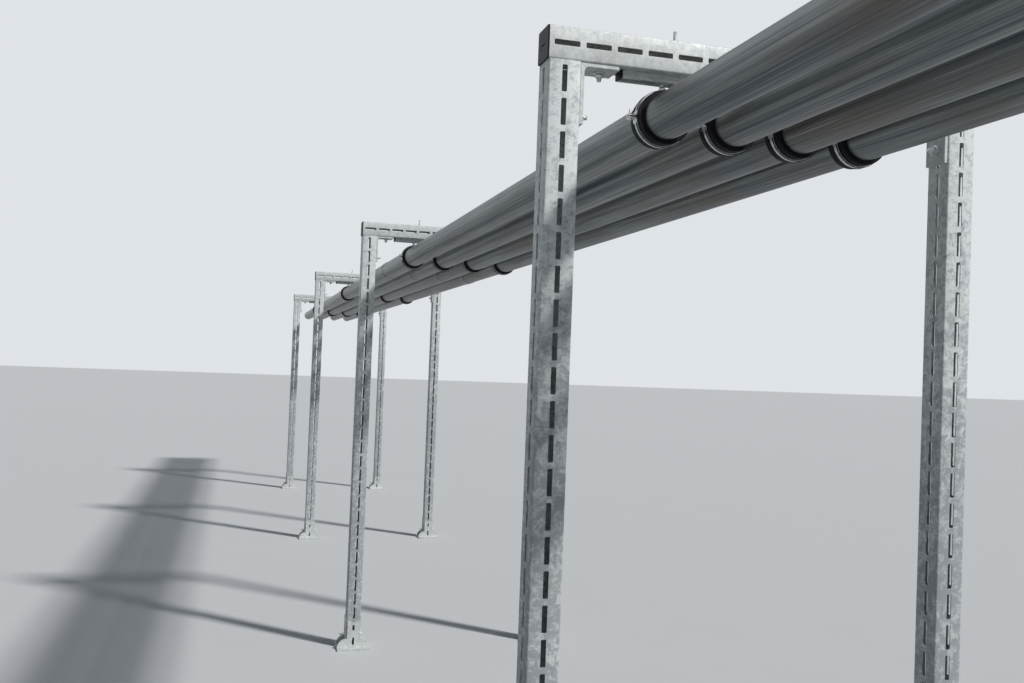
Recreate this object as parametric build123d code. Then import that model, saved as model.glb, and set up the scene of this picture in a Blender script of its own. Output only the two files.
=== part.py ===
"""Pipe bridge: a row of portal frames of slotted box section that carry four pipes.

X runs across the bridge, Y along the pipes and Z up. The origin is on the floor, in the middle
of the row. All sizes are in millimetres.
"""
import os
from math import cos, pi

from build123d import *

# The row
frame_count = 4
bay = 3700.0
frame_width = 1222.0

# Slotted box section of legs and beams; a shift moves a whole line of slots up or to the right
section = 83.0
section_wall = 3.0
slot_pitch = 81.5
slot_length = 66.0
slot_width = 13.5
slot_margin = 5.0
leg_slot_shift = -4.0
beam_slot_shift = 5.0
leg_length = 2445.0

# Foot: base plate and welded shoe
plate_size = 190.0
plate_thickness = 10.0
anchor_spacing = 146.0
anchor_hole = 14.0
shoe_thickness = 5.0
shoe_width = 70.0
front_tongue_height = 148.0
side_tongue_height = 176.0
wing_radius = 50.0
wing_sides = 8
shoe_slot_height = 53.0
shoe_slot_length = 30.0

# Corner bracket under each end of the beam
bracket_reach = 100.0
bracket_drop = 152.0
bracket_thickness = 10.0
bracket_width = 76.0
bracket_inner_corner = 8.0

# Channel rail under the beam, and the rods that hold it
rail_width = 41.0
rail_depth = 21.0
rail_wall = 2.5
rail_mouth = 22.0
rail_gap = 11.0
rod_diameter = 10.0
rod_rise = 36.0
rod_tail = 6.0
rod_slots_from_middle = 3
rod_end_gap = 1.5
nut_across_flats = 17.0
nut_height = 8.0

# Pipes
pipe_count = 4
pipe_diameter = 114.3
pipe_wall = 2.6
pipe_pitch = 190.0
pipe_row_shift = -12.0

# Sleeves that join the pipe lengths
sleeve_length = 120.0
sleeve_thickness = 3.0
sleeve_from_frame = 1000.0
sleeve_frame = 1

# Lined clamps and their hangers; a ring has a flat on top and a corner at each side
ring_sides = 10
lining_thickness = 10.5
lining_width = 70.0
band_thickness = 3.0
band_width = 22.0
ear_reach = 18.0
ear_thickness = 3.0
ear_gap = 3.0
hanger_gap = 18.0
rail_nut_length = 30.0
rail_nut_height = 8.0

# End caps of the beams
cap_thickness = 4.0
cap_plug = 8.0

# Clearances
fit_gap = 0.3
cut_past = 5.0

# Places that follow from the sizes above
leg_x = (frame_width - section) / 2
beam_underside = plate_thickness + leg_length
rail_underside = beam_underside - rail_depth
pipe_radius = pipe_diameter / 2
lining_inner = pipe_radius + fit_gap
lining_outer = lining_inner + lining_thickness
band_inner = lining_outer + fit_gap
band_outer = band_inner + band_thickness
pipe_height = rail_underside - hanger_gap - band_outer
pipe_length = frame_count * bay
rail_length = frame_width - 2 * (section + bracket_reach + rail_gap)
rod_slot_reach = rod_slots_from_middle * slot_pitch
rod_reach = rod_slot_reach + (slot_length - rod_diameter) / 2 - rod_end_gap
rod_xs = [beam_slot_shift + side * rod_reach for side in (-1, 1)]
frame_ys = [(index - (frame_count - 1) / 2) * bay for index in range(frame_count)]
pipe_xs = [pipe_row_shift + (index - (pipe_count - 1) / 2) * pipe_pitch for index in range(pipe_count)]


def slot_places(length):
    """Centres of the slots along a member, evenly spaced about its middle."""
    count = int((length - slot_length - 2 * slot_margin) / slot_pitch) + 1
    return [(index - (count - 1) / 2) * slot_pitch for index in range(count)]


def slotted_section(length, shift):
    """Box section standing on Z about the origin, with a line of slots down its front wall."""
    inside = section - 2 * section_wall
    tube = Rectangle(section, section) - Rectangle(inside, inside)
    front = -(section - section_wall) / 2
    cutter = Box(slot_width, section_wall + 2 * cut_past, slot_length)
    slots = [Pos(0, front, place + shift) * cutter for place in slot_places(length)]
    return extrude(tube, amount=length / 2, both=True) - slots


def make_beam():
    """Slotted section laid across the legs, with a slot over and under each rail rod."""
    cutter = Box(section + 2 * cut_past, slot_width, slot_length)
    slots = [Pos(0, 0, beam_slot_shift + side * rod_slot_reach) * cutter for side in (-1, 1)]
    return Rot(0, 90, 0) * (slotted_section(frame_width, beam_slot_shift) - slots)


def make_shoe_plate():
    """Front plate of the shoe: a slotted tongue between two sloping wings."""
    tongue = Pos(0, front_tongue_height / 2) * Rectangle(shoe_width, front_tongue_height)
    wings = [Pos(side * section / 2, 0) * RegularPolygon(wing_radius, wing_sides) for side in (-1, 1)]
    web = Pos(0, wing_radius / 2) * Rectangle(section, wing_radius)
    below = Pos(0, -wing_radius) * Rectangle(2 * plate_size, 2 * wing_radius)
    slot = Pos(0, shoe_slot_height) * Rectangle(slot_width, shoe_slot_length)
    outline = (tongue + web + wings) - below - slot
    return extrude(Plane.XZ * outline, amount=shoe_thickness)


def make_foot():
    """Base plate with two square anchor holes and a welded shoe round the leg, from the floor up."""
    plate = Pos(0, 0, plate_thickness / 2) * Box(plate_size, plate_size, plate_thickness)
    half = anchor_spacing / 2
    hole = Box(anchor_hole, anchor_hole, plate_thickness + 2 * cut_past)
    plate -= [Pos(side * half, side * half, plate_thickness / 2) * hole for side in (-1, 1)]
    face = Pos(0, -section / 2, plate_thickness) * make_shoe_plate()
    side_x = (section + shoe_thickness) / 2
    tongue = Box(shoe_thickness, shoe_width, side_tongue_height)
    tongue_z = plate_thickness + side_tongue_height / 2
    tongues = [Pos(side * side_x, 0, tongue_z) * tongue for side in (-1, 1)]
    return plate + [face, Rot(0, 0, 180) * face] + tongues


def make_bracket():
    """Thick bent angle in the corner between a left leg and the beam."""
    across = Pos(bracket_reach / 2, -bracket_thickness / 2) * Rectangle(bracket_reach, bracket_thickness)
    down = Pos(bracket_thickness / 2, -bracket_drop / 2) * Rectangle(bracket_thickness, bracket_drop)
    angle = across + down
    corner = angle.vertices().sort_by_distance((bracket_thickness, -bracket_thickness, 0))[0]
    angle = chamfer(corner, length=bracket_inner_corner)
    return extrude(Plane.XZ * angle, amount=bracket_width / 2, both=True)


def make_rail():
    """Channel with turned-in lips, open below, with a square hole for each rod in its web."""
    outer = Rectangle(rail_width, rail_depth)
    inner = Rectangle(rail_width - 2 * rail_wall, rail_depth - 2 * rail_wall)
    mouth = Pos(0, -rail_depth / 2) * Rectangle(rail_mouth, 4 * rail_wall)
    profile = outer - inner - mouth
    rail = extrude(Plane.YZ * profile, amount=rail_length / 2, both=True)
    hole_size = rod_diameter + 2 * fit_gap
    hole = Pos(0, 0, rail_depth / 2) * Box(hole_size, hole_size, 4 * rail_wall)
    return rail - [Pos(x, 0, 0) * hole for x in rod_xs]


def hexagon(size, height, across_flats=True):
    """Hexagonal prism on the origin, with its size across its flats or its corners."""
    return extrude(RegularPolygon(size / 2, 6, major_radius=not across_flats), amount=height)


def make_rod():
    """Rod that ties the rail to the beam, from its tail in the rail up, with the nut on the beam."""
    top = rod_tail + rail_wall + section
    shaft = hexagon(rod_diameter, top + rod_rise, across_flats=False)
    nut = hexagon(nut_across_flats, nut_height)
    return shaft + Pos(0, 0, top) * nut


def make_hanger():
    """Rail nut that lies on the rail's lips, from the top of the lips up."""
    width = rail_width - 2 * rail_wall - 2 * fit_gap
    return Pos(0, 0, rail_nut_height / 2) * Box(rail_nut_length, width, rail_nut_height)


def ring(outer, inner):
    """Many-sided ring, measured from its middle to its flats."""
    whole = RegularPolygon(outer, ring_sides, major_radius=False)
    return whole - RegularPolygon(inner, ring_sides, major_radius=False)


def along(outline, length):
    """Solid of this outline along Y, about the origin."""
    return extrude(Plane.XZ * outline, amount=length / 2, both=True)


def make_half_band():
    """Half of a clamp's band, above the joint line, with an ear at each end."""
    size = 4 * band_outer
    upper = Pos(0, (size + ear_gap) / 2) * Rectangle(size, size)
    ear_start = (band_inner + band_outer) / 2 / cos(pi / ring_sides)
    ear_length = band_outer + ear_reach - ear_start
    ear = Rectangle(ear_length, ear_thickness)
    ear_x = ear_start + ear_length / 2
    ear_z = (ear_gap + ear_thickness) / 2
    half = (ring(band_outer, band_inner) & upper) + [Pos(side * ear_x, ear_z) * ear for side in (-1, 1)]
    return along(half, band_width)


def make_upper_band():
    """Upper half of the band, with the hexagonal boss that hangs it from the rail nut."""
    boss_base = band_inner + band_thickness / 2
    boss_top = band_outer + hanger_gap + rail_wall
    boss = Pos(0, 0, boss_base) * hexagon(nut_across_flats, boss_top - boss_base)
    return make_half_band() + boss


def make_pipe():
    """Round pipe that runs the length of the row."""
    return along(Circle(pipe_radius) - Circle(pipe_radius - pipe_wall), pipe_length)


def make_sleeve():
    """Sleeve over the joint between two lengths of pipe."""
    inner = pipe_radius + fit_gap
    return along(ring(inner + sleeve_thickness, inner), sleeve_length)


def make_end_cap():
    """Plastic cap for the left end of a beam: a plate outside and a plug inside."""
    inside = section - 2 * section_wall - 2 * fit_gap
    plate = extrude(Rectangle(section, section), amount=cap_thickness)
    plug = extrude(Rectangle(inside, inside), amount=-cap_plug)
    return Rot(0, -90, 0) * (plate + plug)


def save(name, solids):
    """Write one node from a list of separate solids."""
    node = solids[0] if len(solids) == 1 else Compound(children=solids)
    export_step(node, f"parts/{name}.step")


def save_frames():
    """Legs, beams and what is fastened to each frame."""
    leg = slotted_section(leg_length, leg_slot_shift)
    beam = make_beam()
    foot = make_foot()
    bracket = make_bracket()
    rail = make_rail()
    for number, y in enumerate(frame_ys, start=1):
        for side, x in (("left", -leg_x), ("right", leg_x)):
            save(f"leg_{side}_{number}", [Pos(x, y, plate_thickness + leg_length / 2) * leg])
        save(f"beam_{number}", [Pos(0, y, beam_underside + section / 2) * beam])
        save(f"feet_{number}", [Pos(x, y, 0) * foot for x in (-leg_x, leg_x)])
        bracket_x = frame_width / 2 - section
        left = Pos(-bracket_x, y, beam_underside) * bracket
        right = Pos(bracket_x, y, beam_underside) * Rot(0, 0, 180) * bracket
        save(f"corner_brackets_{number}", [left, right])
        save(f"clamp_rail_{number}", [Pos(0, y, rail_underside + rail_depth / 2) * rail])


def save_rods():
    """The rods that tie each rail to its beam."""
    rod = make_rod()
    z = beam_underside - rail_wall - rod_tail
    save("rail_rods", [Pos(x, y, z) * rod for y in frame_ys for x in rod_xs])


def save_clamps():
    """A lined clamp and its hanger for every pipe at every frame."""
    hanger = make_hanger()
    upper = make_upper_band()
    lower = Rot(0, 180, 0) * make_half_band()
    lining = along(ring(lining_outer, lining_inner), lining_width)
    for number, y in enumerate(frame_ys, start=1):
        save(f"hangers_{number}", [Pos(x, y, rail_underside + rail_wall) * hanger for x in pipe_xs])
        bands = [Pos(x, y, pipe_height) * half for x in pipe_xs for half in (upper, lower)]
        save(f"clamp_bands_{number}", bands)
        save(f"clamp_linings_{number}", [Pos(x, y, pipe_height) * lining for x in pipe_xs])


def save_pipes():
    """The four pipes and the sleeves over their joints."""
    pipe = make_pipe()
    for number, x in enumerate(pipe_xs, start=1):
        save(f"pipe_{number}", [Pos(x, 0, pipe_height) * pipe])
    sleeve = make_sleeve()
    sleeve_y = frame_ys[sleeve_frame] + sleeve_from_frame
    save("pipe_sleeves", [Pos(x, sleeve_y, pipe_height) * sleeve for x in pipe_xs])


def save_end_caps():
    """A cap in each end of each beam."""
    cap = make_end_cap()
    z = beam_underside + section / 2
    left = [Pos(-frame_width / 2, y, z) * cap for y in frame_ys]
    right = [Pos(frame_width / 2, y, z) * Rot(0, 0, 180) * cap for y in frame_ys]
    save("end_caps", left + right)


os.makedirs("parts", exist_ok=True)
save_frames()
save_rods()
save_clamps()
save_pipes()
save_end_caps()
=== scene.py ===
"""Dresses the pipe bridge for the render: zinc coated frames, lined clamps and bare steel pipes.

Every length is in metres. Each sub-assembly is a class that works out its surfaces with numpy
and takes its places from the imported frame.
"""
from __future__ import annotations

import logging
import math
from dataclasses import dataclass, field
from enum import Enum
from typing import Any, Sequence

import bmesh
import bpy
import numpy as np
from mathutils import Matrix, Vector

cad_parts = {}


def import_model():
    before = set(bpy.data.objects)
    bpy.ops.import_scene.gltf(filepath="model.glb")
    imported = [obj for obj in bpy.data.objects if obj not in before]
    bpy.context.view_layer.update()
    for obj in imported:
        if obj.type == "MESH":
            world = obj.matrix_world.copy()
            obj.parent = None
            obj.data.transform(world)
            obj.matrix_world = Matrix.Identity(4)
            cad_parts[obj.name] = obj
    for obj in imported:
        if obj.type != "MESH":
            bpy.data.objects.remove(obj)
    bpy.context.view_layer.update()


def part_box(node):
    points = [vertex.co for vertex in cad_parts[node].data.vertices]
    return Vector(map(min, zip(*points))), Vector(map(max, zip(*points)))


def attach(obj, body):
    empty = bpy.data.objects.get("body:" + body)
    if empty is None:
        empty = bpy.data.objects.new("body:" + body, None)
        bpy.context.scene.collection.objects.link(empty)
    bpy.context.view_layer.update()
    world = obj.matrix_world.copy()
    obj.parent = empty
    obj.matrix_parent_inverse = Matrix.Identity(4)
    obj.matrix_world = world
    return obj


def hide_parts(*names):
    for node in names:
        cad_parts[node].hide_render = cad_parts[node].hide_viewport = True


Array = np.ndarray
Mesh = bpy.types.Mesh
Pair = tuple[float, float]
Triple = tuple[float, float, float]

TURN = 2 * math.pi
QUARTER = TURN / 4
UP = (0, 0, 1)
MIRROR = np.array([-1, 1])
FLIP = np.array([1, -1])
CLOSED = (True, True)
BODY = "root"
SMOOTH_ANGLE = math.radians(32)
WELD = 2e-6
COUNT_SLACK = 1e-6
BREAK_SHARE = 0.3
FRAMES = range(1, 5)
PIPES = range(1, 5)

log = logging.getLogger("pipe_bridge")


class Slot(Enum):
    """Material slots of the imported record."""

    GALVANISED = "galvanised"
    ZINC = "zinc_plated"
    PIPE = "pipe_steel"
    SLEEVE = "sleeve_steel"
    RUBBER = "rubber"
    PLASTIC = "black_plastic"


@dataclass(frozen=True)
class Box:
    """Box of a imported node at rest."""

    low: Array
    high: Array

    @classmethod
    def of(cls, node: str) -> Box:
        """Box of the node with this name."""
        low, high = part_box(node)
        return cls(np.array(low), np.array(high))

    @property
    def middle(self) -> Array:
        """Centre of the box."""
        return (self.low + self.high) / 2

    @property
    def size(self) -> Array:
        """Extent of the box along each axis."""
        return self.high - self.low


class Skin:
    """A surface gathered from grids and flat faces, and then put into one mesh."""

    def __init__(self) -> None:
        """Starts with no points."""
        self._points: list[Array] = []
        self._faces: list[list[int]] = []
        self._count = 0

    def _add(self, points: Array, faces: Array) -> Skin:
        """Keeps some points and the faces that index them.

        Args:
            points: Places, with x, y and z along the last axis.
            faces: Numbers of the corners, one row for each face.

        Returns:
            The same skin, so that calls can follow one another.
        """
        self._faces.extend((faces + self._count).tolist())
        self._points.append(points.reshape(-1, 3))
        self._count += len(self._points[-1])
        return self

    def grid(self, points: Array, wrap: tuple[bool, bool] = (False, True),
             facing: Sequence[float] | None = None) -> Skin:
        """Adds a two-parameter grid of quads.

        The normals point along facing where it is given. Otherwise the sum of normal times distance
        from the middle, which for a closed grid is three times its volume, is made positive.

        Args:
            points: Places, as an array of (rows, columns, 3).
            wrap: Whether the rows, and the columns, close on themselves.
            facing: Direction that the faces look in.

        Returns:
            The same skin.
        """
        rows, columns = points.shape[:2]
        row = np.arange(rows if wrap[0] else rows - 1)[:, None]
        column = np.arange(columns if wrap[1] else columns - 1)[None, :]
        below, beside = (row + 1) % rows, (column + 1) % columns
        corners = (row * columns + column, below * columns + column,
                   below * columns + beside, row * columns + beside)
        quads = np.stack(np.broadcast_arrays(*corners), axis=-1).reshape(-1, 4)
        flat = points.reshape(-1, 3)
        a, b, c, d = (flat[quads[:, corner]] for corner in range(4))
        normal = np.cross(c - a, d - b)
        reach = (a + b + c + d) / 4 - flat.mean(axis=0) if facing is None else np.array(facing, float)
        if float((normal * reach).sum()) < 0:
            quads = quads[:, ::-1]
        return self._add(points, quads)

    def sheet(self, points: Array, facing: Sequence[float]) -> Skin:
        """Adds an open grid that looks along facing."""
        return self.grid(points, (False, False), facing)

    def face(self, loop: Array, facing: Sequence[float]) -> Skin:
        """Adds one flat face with many corners.

        Args:
            loop: Its corners in order.
            facing: Direction that it looks in.

        Returns:
            The same skin.
        """
        arm = loop - loop.mean(axis=0)
        area = np.cross(arm, np.roll(arm, -1, axis=0)).sum(axis=0)
        order = np.arange(len(loop))
        if float(area @ np.array(facing, float)) < 0:
            order = order[::-1]
        return self._add(loop, order[None, :])

    def tube(self, rings: Array, facing: Sequence[float]) -> Skin:
        """Adds a stack of closed rings with a flat face on the first and on the last.

        Args:
            rings: Places, as an array of (rings, points, 3).
            facing: Direction from the first ring to the last.

        Returns:
            The same skin.
        """
        end = np.array(facing, float)
        return self.grid(rings).face(rings[0], -end).face(rings[-1], end)

    def through(self, stations: Sequence[tuple[Array, float]], axis: int = 2) -> Skin:
        """Adds a tube through flat loops, each given with its place along the axis it leaves out."""
        return self.tube(np.stack([lifted(*station, axis) for station in stations]), np.eye(3)[axis])

    def mesh(self, name: str = "part") -> Mesh:
        """Puts the surface into a mesh.

        Args:
            name: Name of the mesh.

        Returns:
            The mesh, with its seams welded and its sharp edges marked.
        """
        made = bpy.data.meshes.new(name)
        made.from_pydata(np.concatenate(self._points).tolist(), [], self._faces)
        work = bmesh.new()
        work.from_mesh(made)
        bmesh.ops.remove_doubles(work, verts=work.verts, dist=WELD)
        work.to_mesh(made)
        work.free()
        return shaded(made)


def shaded(mesh: Mesh) -> Mesh:
    """Smooths the faces of a mesh and marks its sharp edges.

    Args:
        mesh: The mesh, which is changed.

    Returns:
        The same mesh.
    """
    mesh.polygons.foreach_set("use_smooth", np.ones(len(mesh.polygons), bool))
    mesh.set_sharp_from_angle(angle=SMOOTH_ANGLE)
    mesh.update()
    return mesh


def moved(mesh: Mesh, *steps: Matrix) -> Mesh:
    """Copy of a mesh with changes of place applied to its points.

    Args:
        mesh: The mesh, which stays as it is.
        steps: Changes of place, first one first.

    Returns:
        The copy.
    """
    copy = mesh.copy()
    for step in steps:
        copy.transform(step)
    return copy


def shift(x: float, y: float, z: float) -> Matrix:
    """Change of place along the three axes."""
    return Matrix.Translation((x, y, z))


def turned(degrees: float, axis: str) -> Matrix:
    """Turn about one of the axes."""
    return Matrix.Rotation(math.radians(degrees), 4, axis)


def joined(meshes: Sequence[Mesh], name: str = "part") -> Mesh:
    """One mesh with the faces of several, which are then dropped.

    Args:
        meshes: Meshes with their places applied.
        name: Name of the new mesh.

    Returns:
        The new mesh, with its sharp edges marked.
    """
    work = bmesh.new()
    for mesh in meshes:
        work.from_mesh(mesh)
        bpy.data.meshes.remove(mesh)
    made = bpy.data.meshes.new(name)
    work.to_mesh(made)
    work.free()
    return shaded(made)


def lifted(loop: Array, place: float, axis: int = 2) -> Array:
    """Loop of flat points, set at this place along the axis that it leaves out."""
    return np.insert(loop, axis, place, axis=1)


def arc(radius: float, start: float, end: float, steps: int) -> Array:
    """Points radius * (cos a, sin a), for evenly spaced angles a."""
    angle = np.linspace(start, end, steps)
    return radius * np.stack([np.cos(angle), np.sin(angle)], axis=-1)


def polar(radius: Array, angle: Array, height: Array) -> Array:
    """Grid of (radius cos a, radius sin a, height), for arrays that spread over one another."""
    parts = np.broadcast_arrays(radius * np.cos(angle), radius * np.sin(angle), height)
    return np.stack(parts, axis=-1)


def four_corners(quarter: Array) -> Array:
    """Closed loop from its first quarter, which runs from the right side to the top."""
    return np.concatenate([quarter, (quarter * MIRROR)[::-1], -quarter, (quarter * FLIP)[::-1]])


def rounded_loop(half_x: float, half_y: float, radius: float, steps: int = 4) -> Array:
    """Outline of a rectangle whose corners are arcs of a quarter turn.

    Args:
        half_x: Half the width.
        half_y: Half the height.
        radius: Radius of the corners.
        steps: Points on each corner.

    Returns:
        Array of (4 * steps, 2), anticlockwise from the right side.
    """
    centre = np.array([half_x - radius, half_y - radius])
    return four_corners(centre + arc(radius, 0, QUARTER, steps))


def cell_rim(half: Sequence[float], hole: Array) -> Array:
    """Outline of a rectangular cell, with one point for each point of the hole in its middle.

    On each corner the first half of the points climb the side from the hole's own height, and the
    rest run along the top to the hole's own width, so that strips beside a cell can share them.

    Args:
        half: Half the cell's width and height.
        hole: Loop from rounded_loop.

    Returns:
        Array of the same shape as hole.
    """
    steps = len(hole) // 4
    turn = steps // 2 + 1
    up = np.linspace(hole[0, 1], half[1], turn)
    back = np.linspace(half[0], hole[steps - 1, 0], steps - turn + 1)[1:]
    side = np.stack([np.full(turn, half[0]), up], axis=-1)
    top = np.stack([back, np.full(len(back), half[1])], axis=-1)
    return four_corners(np.concatenate([side, top]))


def lathe(profile: Array, segments: int) -> Array:
    """Surface of revolution about Z, from the radius and height at each station of a profile."""
    angle = np.linspace(0, TURN, segments, endpoint=False)
    return polar(profile[:, :1], angle, profile[:, 1:])


def both_sides(side: Array) -> Array:
    """Closed profile of radius and height from its lower half."""
    return np.concatenate([side, (side * FLIP)[::-1]])


def rounded_profile(inner: float, outer: float, half: float, edge: float) -> Array:
    """Closed profile of a ring: a rectangle of radius and height with its outer corners broken.

    Args:
        inner: Inner radius.
        outer: Outer radius.
        half: Half the height.
        edge: How far the corners are broken.

    Returns:
        Array of (8, 2).
    """
    near = BREAK_SHARE * edge
    return both_sides(np.array([(inner, -half), (outer - edge, -half), (outer - near, near - half),
                                (outer, edge - half)]))


@dataclass
class PiercedPlate:
    """Flat plate of rectangular cells, some with a hole in the middle; its thickness rises from z = 0.

    A hole is given as half its width, half its height and the radius of its corners.
    """

    x_cuts: Sequence[float]
    y_cuts: Sequence[float]
    thickness: float
    holes: dict[tuple[int, int], Triple] = field(default_factory=dict)
    hole_steps: int = 5

    def mesh(self) -> Mesh:
        """Builds both faces of every cell, the walls of the holes and the four edges.

        Returns:
            The closed mesh.
        """
        skin = Skin()
        columns, rows = self._fine(0), self._fine(1)
        for i, x in enumerate(columns):
            for j, y in enumerate(rows):
                self._cell(skin, x, y, self.holes.get((i, j)))
        x, y = (np.unique(np.concatenate(cuts)) for cuts in (columns, rows))
        for sign, edge in ((-1, 0), (1, -1)):
            for rim, out in ((np.stack([x, np.full_like(x, y[edge])], -1), (0, sign, 0)),
                             (np.stack([np.full_like(y, x[edge]), y], -1), (sign, 0, 0))):
                skin.sheet(np.stack([lifted(rim, 0), lifted(rim, self.thickness)]), out)
        return skin.mesh()

    def _fine(self, axis: int) -> list[Array]:
        """Cuts of every column or row, as fine as the rim of the hole in it.

        Args:
            axis: 0 for the columns, 1 for the rows.

        Returns:
            One array of places for each column or row.
        """
        cuts = (self.x_cuts, self.y_cuts)[axis]
        turn = self.hole_steps // 2 + 1
        count = (self.hole_steps - turn + 1, turn)[axis]
        fine = []
        for place, ends in enumerate(zip(cuts, cuts[1:])):
            found = [hole for cell, hole in self.holes.items() if cell[axis] == place]
            half = (ends[1] - ends[0]) / 2
            own = np.linspace(found[0][axis] - found[0][2], half, count) if found else np.array([half])
            fine.append((np.unique(np.concatenate([-own, own])) + sum(ends) / 2).round(7))
        return fine

    def _cell(self, skin: Skin, x: Array, y: Array, hole: Triple | None) -> None:
        """Adds one cell.

        Args:
            skin: Where the surface goes.
            x: Its cuts along x.
            y: Its cuts along y.
            hole: The hole in its middle, if it has one.
        """
        middle = np.array([x[0] + x[-1], y[0] + y[-1]]) / 2
        if hole is None:
            flat = np.stack(np.meshgrid(x, y, indexing="ij"), axis=-1)
            for z, out in ((0.0, -1), (self.thickness, 1)):
                skin.sheet(np.dstack([flat, np.full(flat.shape[:2], z)]), (0, 0, out))
            return
        inner = rounded_loop(*hole, self.hole_steps)
        outer = cell_rim((x[-1] - middle[0], y[-1] - middle[1]), inner) + middle
        inner = inner + middle
        loops = ((outer, 0), (inner, 0), (inner, self.thickness), (outer, self.thickness))
        skin.grid(np.stack([lifted(*loop) for loop in loops]))


@dataclass
class Ribbon:
    """Strip of even thickness that follows a path in the plane of X and Z, with its width along Y."""

    thickness: float
    width: float
    edge: float = 0.0006

    def along(self, path: Array) -> Mesh:
        """Carries the strip along a path.

        Each cross-section is a rounded rectangle spanned by Y and the path's normal, which is its
        direction turned by a quarter of a turn.

        Args:
            path: Centre line, as an array of (points, 2).

        Returns:
            The closed mesh.
        """
        tangent = np.gradient(path, axis=0)
        tangent /= np.linalg.norm(tangent, axis=1, keepdims=True)
        normal = np.stack([-tangent[:, 1], tangent[:, 0]], axis=-1)
        loop = rounded_loop(self.thickness / 2, self.width / 2, self.edge, 2)
        place = path[:, None, :] + normal[:, None, :] * loop[None, :, :1]
        across = np.broadcast_to(loop[None, :, 1], place.shape[:2])
        rings = np.stack([place[..., 0], across, place[..., 1]], axis=-1)
        start, end = tangent[0], tangent[-1]
        skin = Skin().grid(rings).face(rings[0], (-start[0], 0, -start[1]))
        return skin.face(rings[-1], (end[0], 0, end[1])).mesh()


@dataclass(frozen=True)
class Fasteners:
    """Hexagon nuts, bolt heads, washers and threaded studs that stand on Z.

    The bolt sizes are those of the large bolts through the section.
    """

    bolt_radius: float = 0.006
    bolt_flats: float = 0.019
    bolt_bore: float = 0.0054
    nut_height: float = 0.010
    washer_bore: float = 0.0062
    washer_height: float = 0.003
    washer_edge: float = 0.3
    chamfer: float = 0.12
    cone_end: float = 0.95
    cone_side: float = 1.16
    thread_depth: float = 0.07
    thread_pitch: float = 0.0015
    thread_steps: int = 4
    thread_sides: int = 12
    stud_end: float = 0.78
    segments: int = 24

    def nut(self, across_flats: float, height: float, base: float = 0.0, bore: float = 0.0) -> Mesh:
        """Nut or bolt head with chamfered corners.

        The radius is the smaller of the hexagon's, apothem / cos(angle from the middle of a flat),
        and a cone's that cuts the corners at both ends.

        Args:
            across_flats: Width across the flats.
            height: Height of the nut.
            base: Height of its underside.
            bore: Radius of its hole, or 0 for a closed head.

        Returns:
            The closed mesh.
        """
        apothem = across_flats / 2
        angle = np.linspace(0, TURN, self.segments, endpoint=False)
        from_flat = (angle + TURN / 12) % (TURN / 6) - TURN / 12
        levels = base + height * np.array([0, self.chamfer, 1 - self.chamfer, 1])
        cone = np.array([self.cone_end, self.cone_side, self.cone_side, self.cone_end]) * apothem
        radius = np.minimum(apothem / np.cos(from_flat), cone[:, None])
        if bore:
            radius = np.concatenate([radius, np.full((2, self.segments), bore)])
            levels = np.concatenate([levels, levels[[-1, 0]]])
        around = polar(radius, angle, levels[:, None])
        return (Skin().grid(around, CLOSED) if bore else Skin().tube(around, UP)).mesh()

    def washer(self, outer: float, bore: float, thickness: float, base: float = 0.0) -> Mesh:
        """Flat washer as a lathed ring with slightly broken edges.

        Args:
            outer: Outer radius.
            bore: Radius of the hole.
            thickness: Height of the washer.
            base: Height of its underside.

        Returns:
            The closed mesh.
        """
        half = thickness / 2
        profile = rounded_profile(bore, outer, half, thickness * self.washer_edge) + [0, base + half]
        return Skin().grid(lathe(profile, self.segments), CLOSED).mesh()

    def stud(self, radius: float, bottom: float, top: float) -> Mesh:
        """Threaded stud: the radius falls by a triangle wave of (height / pitch - turn).

        Args:
            radius: Outer radius of the thread.
            bottom: Height of the lower end.
            top: Height of the upper end.

        Returns:
            The closed mesh, with its ends broken.
        """
        rows = max(5, int((top - bottom) / self.thread_pitch * self.thread_steps))
        height = np.linspace(bottom, top, rows)[:, None]
        angle = np.linspace(0, TURN, self.thread_sides, endpoint=False)
        wave = np.abs(((height / self.thread_pitch - angle / TURN) % 1) * 2 - 1)
        reach = radius * (1 - 2 * self.thread_depth * wave)
        reach[[0, -1]] = radius * self.stud_end
        return Skin().tube(polar(reach, angle, height), UP).mesh()

    def bolt_washer(self, outer: float, base: float) -> Mesh:
        """Washer of a large bolt."""
        return self.washer(outer, self.washer_bore, self.washer_height, base)

    def bolt_end(self, outer: float, base: float, below: float, above: float) -> list[Mesh]:
        """End of a large bolt: washer, nut and standing thread.

        Args:
            outer: Outer radius of the washer.
            base: Height of the face that it stands on.
            below: How far the thread reaches into the face.
            above: How far it stands out.

        Returns:
            The three meshes.
        """
        return [self.bolt_washer(outer, base),
                self.nut(self.bolt_flats, self.nut_height, base + self.washer_height, self.bolt_bore),
                self.stud(self.bolt_radius, base - below, base + above)]


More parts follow.
